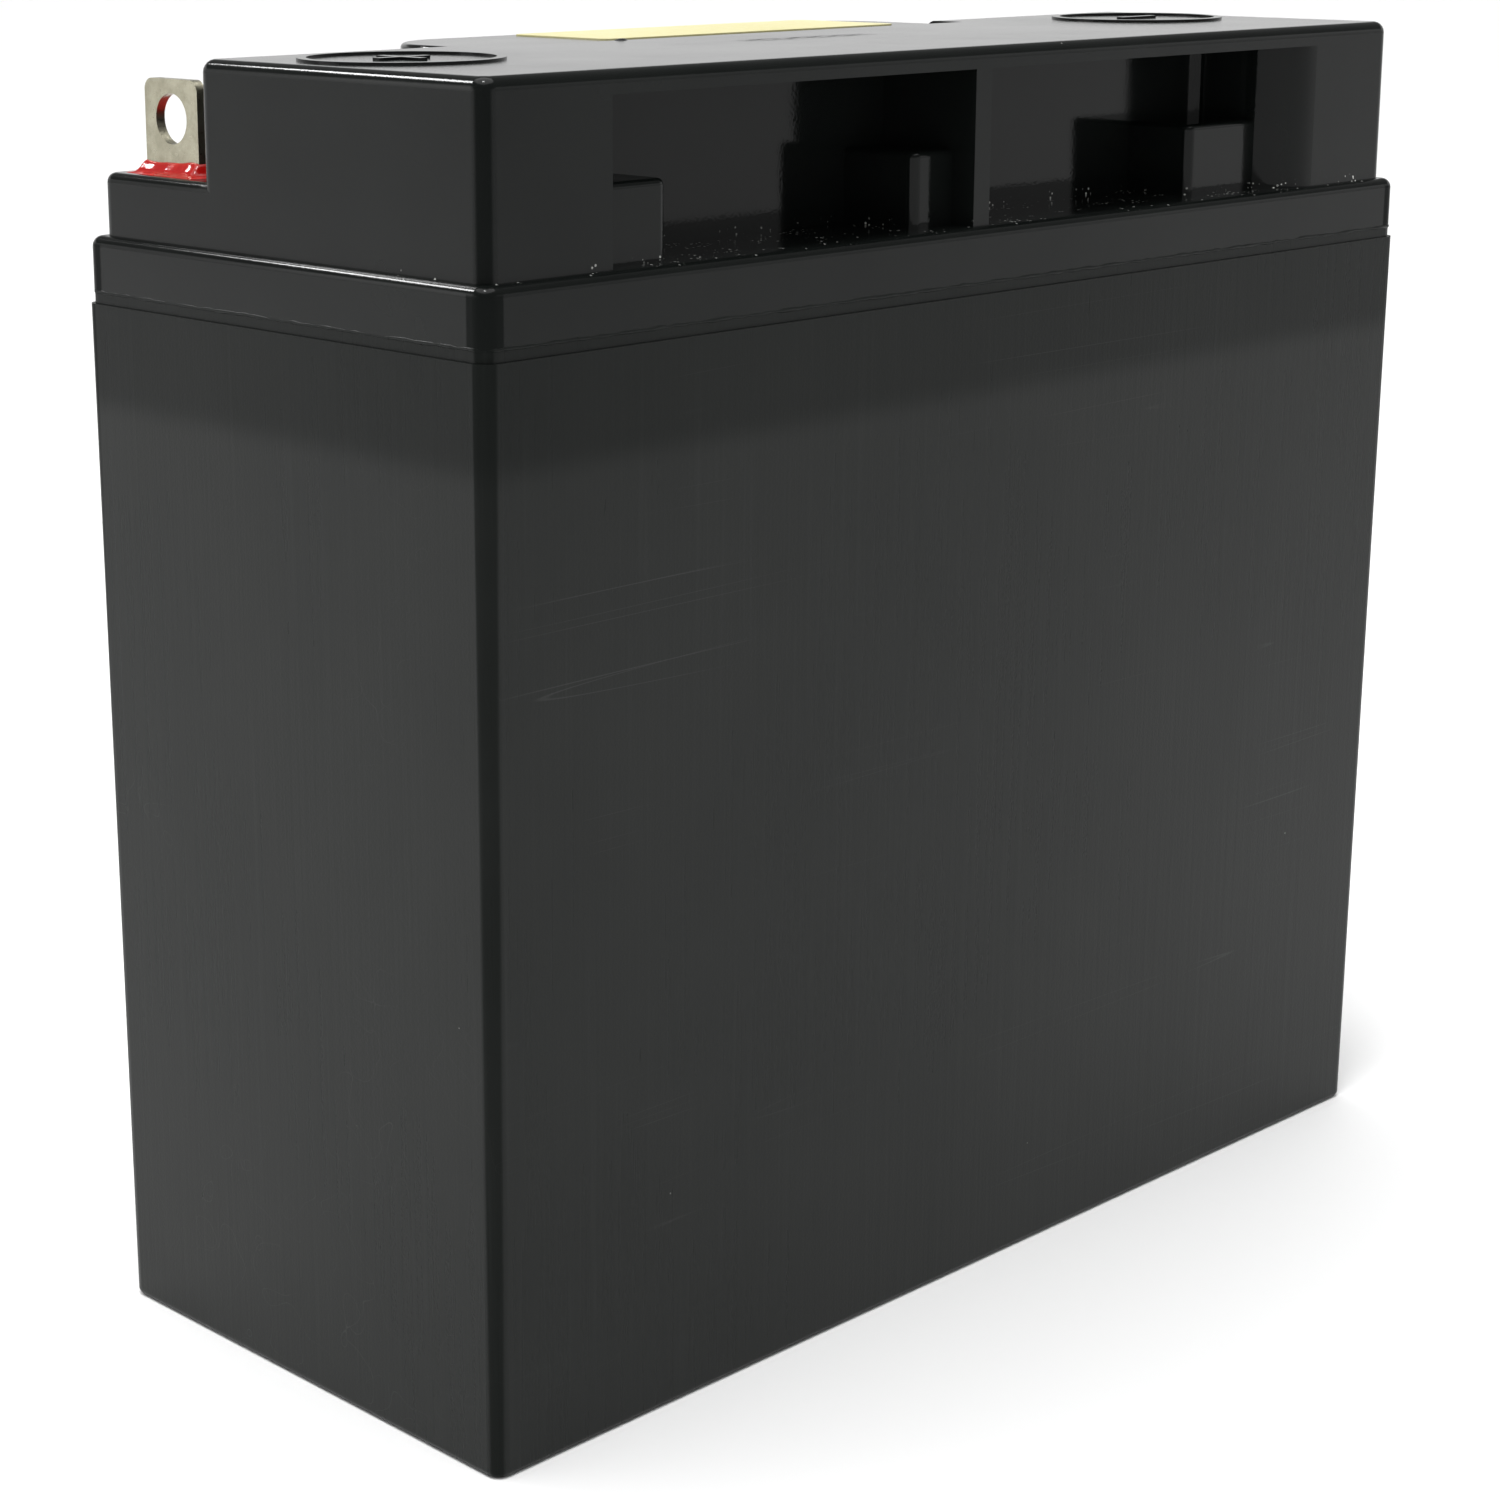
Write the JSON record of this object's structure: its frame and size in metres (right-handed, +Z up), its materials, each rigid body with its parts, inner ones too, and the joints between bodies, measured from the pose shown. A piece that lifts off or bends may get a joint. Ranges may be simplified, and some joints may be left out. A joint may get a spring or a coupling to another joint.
{
  "type": "motorcycle battery",
  "caption": "Black sealed motorcycle battery block with two front hand recesses, rear corner notches and upright bolt-hole tab terminals.",
  "frame": {"origin": "centre of the case's underside", "axes": "+X along the long side, away from the positive terminal; -Y is the side with the hand recesses; +Z up"},
  "size_m": [0.181, 0.076, 0.1673],
  "materials": {
    "case_plastic": "satin moulded ABS, black",
    "lid_plastic": "glossy moulded ABS, black",
    "inner_plastic": "moulded ABS, black",
    "label_film": "pale yellow film",
    "valve_rubber": "soft black rubber",
    "red_epoxy": "glossy red potting resin",
    "black_epoxy": "glossy black potting resin",
    "tinned_terminal": "tin-plated, lightly worn",
    "positive_paste": "pasted lead grid, dark brown",
    "negative_paste": "pasted lead grid, grey",
    "glass_mat": "white absorbent glass mat",
    "lead": "cast lead, dull grey"
  },
  "bodies": {
    "battery": {"case": "case_plastic", "cell_1_negative_plates": "negative_paste", "cell_1_negative_strap": "lead", "cell_1_positive_plates": "positive_paste", "cell_1_positive_strap": "lead", "cell_1_separators": "glass_mat", "cell_2_negative_plates": "negative_paste", "cell_2_negative_strap": "lead", "cell_2_positive_plates": "positive_paste", "cell_2_positive_strap": "lead", "cell_2_separators": "glass_mat", "cell_3_negative_plates": "negative_paste", "cell_3_negative_strap": "lead", "cell_3_positive_plates": "positive_paste", "cell_3_positive_strap": "lead", "cell_3_separators": "glass_mat", "cell_4_negative_plates": "negative_paste", "cell_4_negative_strap": "lead", "cell_4_positive_plates": "positive_paste", "cell_4_positive_strap": "lead", "cell_4_separators": "glass_mat", "cell_5_negative_plates": "negative_paste", "cell_5_negative_strap": "lead", "cell_5_positive_plates": "positive_paste", "cell_5_positive_strap": "lead", "cell_5_separators": "glass_mat", "cell_6_negative_plates": "negative_paste", "cell_6_negative_strap": "lead", "cell_6_positive_plates": "positive_paste", "cell_6_positive_strap": "lead", "cell_6_separators": "glass_mat", "cell_weld_1": "lead", "cell_weld_2": "lead", "cell_weld_3": "lead", "cell_weld_4": "lead", "cell_weld_5": "lead", "gas_deck": "inner_plastic", "lid": "lid_plastic", "negative_post": "lead", "negative_seal": "black_epoxy", "negative_terminal": "tinned_terminal", "positive_post": "lead", "positive_seal": "red_epoxy", "positive_terminal": "tinned_terminal", "top_label": "label_film", "vent_cover": "lid_plastic"},
    "valve_cap_1_body": {"valve_cap_1": "valve_rubber"},
    "valve_cap_2_body": {"valve_cap_2": "valve_rubber"},
    "valve_cap_3_body": {"valve_cap_3": "valve_rubber"},
    "valve_cap_4_body": {"valve_cap_4": "valve_rubber"},
    "valve_cap_5_body": {"valve_cap_5": "valve_rubber"},
    "valve_cap_6_body": {"valve_cap_6": "valve_rubber"}
  },
  "joints": [
    {"name": "valve_cap_1_lift", "type": "slide", "parent": "battery", "child": "valve_cap_1_body", "axis": [0, 0, 1], "range_m": [0, 0.0008], "stiffness_N_per_m": 250},
    {"name": "valve_cap_2_lift", "type": "slide", "parent": "battery", "child": "valve_cap_2_body", "axis": [0, 0, 1], "range_m": [0, 0.0008], "stiffness_N_per_m": 250},
    {"name": "valve_cap_3_lift", "type": "slide", "parent": "battery", "child": "valve_cap_3_body", "axis": [0, 0, 1], "range_m": [0, 0.0008], "stiffness_N_per_m": 250},
    {"name": "valve_cap_4_lift", "type": "slide", "parent": "battery", "child": "valve_cap_4_body", "axis": [0, 0, 1], "range_m": [0, 0.0008], "stiffness_N_per_m": 250},
    {"name": "valve_cap_5_lift", "type": "slide", "parent": "battery", "child": "valve_cap_5_body", "axis": [0, 0, 1], "range_m": [0, 0.0008], "stiffness_N_per_m": 250},
    {"name": "valve_cap_6_lift", "type": "slide", "parent": "battery", "child": "valve_cap_6_body", "axis": [0, 0, 1], "range_m": [0, 0.0008], "stiffness_N_per_m": 250}
  ]
}
